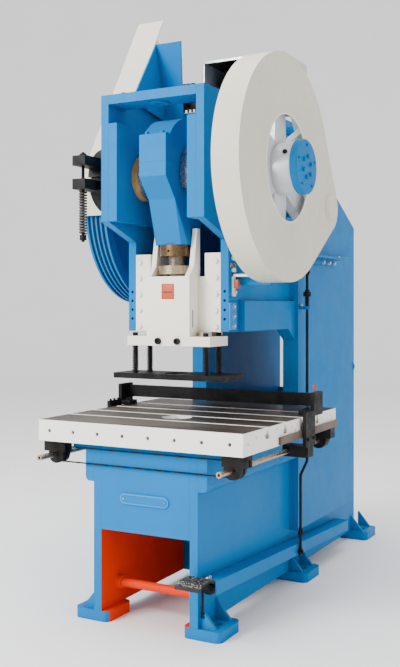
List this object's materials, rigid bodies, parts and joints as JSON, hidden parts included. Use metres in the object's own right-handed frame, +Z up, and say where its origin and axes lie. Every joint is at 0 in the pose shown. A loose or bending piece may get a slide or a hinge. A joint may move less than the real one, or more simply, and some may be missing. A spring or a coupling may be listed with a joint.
{
  "type": "mechanical stamping press",
  "caption": "Open-front C-frame eccentric power press with geared crank drive, T-slotted table, sprung stripper, back gauge and treadle trip.",
  "frame": {"origin": "on the floor at the middle of the four corner anchor holes", "axes": "+X to the operator's right, +Y to the rear, +Z up"},
  "size_m": [1.228, 2.344, 2.9596],
  "materials": {
    "blue_enamel": "gloss sky-blue enamel",
    "cream_enamel": "gloss cream enamel",
    "black_oxide": "black oxide",
    "bright_steel": "turned and oiled",
    "ground_steel": "ground table top, cream painted sides",
    "bronze": "oiled bronze",
    "orange_enamel": "gloss orange-red enamel",
    "galvanised": "galvanised sheet",
    "belt_rubber": "rubber",
    "spring_steel": "blackened spring wire",
    "grey_casting": "light grey painted casting"
  },
  "bodies": {
    "frame": {"side_plate_left": "blue_enamel", "side_plate_right": "blue_enamel", "doubler_plates": "blue_enamel", "base_front_plate": "blue_enamel", "cross_plates": "blue_enamel", "bearing_housings": "blue_enamel", "main_bushes": "bronze", "mounting_feet": "blue_enamel", "foot_rail": "orange_enamel", "bed_plate": "blue_enamel", "bolster_table": "ground_steel", "gibs": "cream_enamel", "gib_screws": "cream_enamel", "shaft_bearings": "blue_enamel", "motor_body": "black_oxide", "drive_belts": "belt_rubber", "motor_mount": "blue_enamel", "motor_hood": "galvanised", "gear_guard": "cream_enamel", "guard_brackets": "blue_enamel", "belt_guard": "cream_enamel", "tower_bracket": "blue_enamel", "brake_shoes": "black_oxide", "brake_anchor": "black_oxide", "brake_stud": "black_oxide", "brake_spring": "spring_steel", "sync_chain": "black_oxide", "lead_bearings": "black_oxide", "guide_bars": "ground_steel", "treadle_channel": "blue_enamel", "pivot_pins": "bright_steel", "rod_guide": "blue_enamel", "rod_spring": "spring_steel"},
    "crank": {"crankshaft": "bright_steel", "brake_drum": "black_oxide"},
    "connecting_rod": {"pitman": "blue_enamel", "pitman_cap": "blue_enamel", "cap_bolts": "bright_steel", "ball_screw": "bright_steel", "lock_collar": "bronze", "screw_ring": "bronze"},
    "slide": {"ram": "cream_enamel", "ram_flange": "cream_enamel", "clamp_screws": "black_oxide"},
    "stripper": {"stripper_plate": "black_oxide", "stripper_bolts": "black_oxide", "stripper_springs": "spring_steel"},
    "bull_gear": {"gear_wheel": "grey_casting", "end_disc": "blue_enamel"},
    "back_axle": {"back_shaft": "bright_steel", "flywheel": "blue_enamel"},
    "motor_spindle": {"motor_rotor": "black_oxide"},
    "gauge": {"gauge_bar": "black_oxide", "gauge_carriages": "black_oxide"},
    "lead_left": {"lead_screw_left": "bright_steel"},
    "lead_right": {"lead_screw_right": "bright_steel"},
    "treadle": {"treadle_lever": "black_oxide", "pedal_pad": "black_oxide"},
    "trip_link": {"trip_rod": "black_oxide"},
    "trip_arm": {"trip_lever": "black_oxide"}
  },
  "joints": [
    {"name": "gear_spin", "type": "hinge", "parent": "frame", "child": "bull_gear", "pos_m": [0.5, -0.78, 2.016], "axis": [1, 0, 0], "continuous": true},
    {"name": "back_axle_spin", "type": "hinge", "parent": "frame", "child": "back_axle", "pos_m": [0, -0.272, 1.8914], "axis": [1, 0, 0], "continuous": true},
    {"name": "motor_spin", "type": "hinge", "parent": "frame", "child": "motor_spindle", "pos_m": [-0.4, 0.18, 2.627], "axis": [1, 0, 0], "continuous": true},
    {"name": "crank_turn", "type": "hinge", "parent": "frame", "child": "crank", "pos_m": [0, -0.78, 2.016], "axis": [-1, 0, 0], "range_deg": [0, 180]},
    {"name": "rod_swing", "type": "hinge", "parent": "crank", "child": "connecting_rod", "pos_m": [0, -0.78, 2.056], "axis": [-1, 0, 0], "range_deg": [-180, 0]},
    {"name": "slide_travel", "type": "slide", "parent": "frame", "child": "slide", "axis": [0, 0, -1], "range_m": [0, 0.08]},
    {"name": "stripper_lift", "type": "slide", "parent": "slide", "child": "stripper", "axis": [0, 0, 1], "range_m": [0, 0.04], "stiffness_N_per_m": 4000, "springref_m": -0.03, "deforming": ["stripper_springs"]},
    {"name": "gauge_travel", "type": "slide", "parent": "frame", "child": "gauge", "axis": [0, 1, 0], "range_m": [-0.28, 0.22]},
    {"name": "lead_turn_left", "type": "hinge", "parent": "frame", "child": "lead_left", "pos_m": [-0.448, -0.6, 0.741], "axis": [0, 1, 0], "range_deg": [-17000, 17000]},
    {"name": "lead_turn_right", "type": "hinge", "parent": "frame", "child": "lead_right", "pos_m": [0.448, -0.6, 0.741], "axis": [0, 1, 0], "range_deg": [-17000, 17000]},
    {"name": "treadle_press", "type": "hinge", "parent": "frame", "child": "treadle", "pos_m": [0.3, 0.56, 0.128], "axis": [1, 0, 0], "range_deg": [0, 2.2], "stiffness_Nm_per_rad": 400, "springref_deg": -28.65},
    {"name": "trip_pull", "type": "slide", "parent": "frame", "child": "trip_link", "axis": [0, 0, -1], "range_m": [0, 0.028], "deforming": ["rod_spring"]},
    {"name": "trip_turn", "type": "hinge", "parent": "frame", "child": "trip_arm", "pos_m": [0.32, -0.15, 1.59], "axis": [-1, 0, 0], "range_deg": [0, 16]}
  ],
  "couplings": [
    {"joint": "back_axle_spin", "follows": "gear_spin", "ratio": -7.0769},
    {"joint": "motor_spin", "follows": "gear_spin", "ratio": -43.499},
    {"joint": "rod_swing", "follows": "crank_turn", "ratio": -1},
    {"joint": "slide_travel", "follows": "crank_turn", "m_per_rad": 0.025465},
    {"joint": "lead_turn_left", "follows": "gauge_travel", "rad_per_m": 1047.2},
    {"joint": "lead_turn_right", "follows": "gauge_travel", "rad_per_m": 1047.2},
    {"joint": "trip_pull", "follows": "treadle_press", "m_per_rad": 0.69},
    {"joint": "trip_turn", "follows": "treadle_press", "ratio": 6.2727}
  ]
}
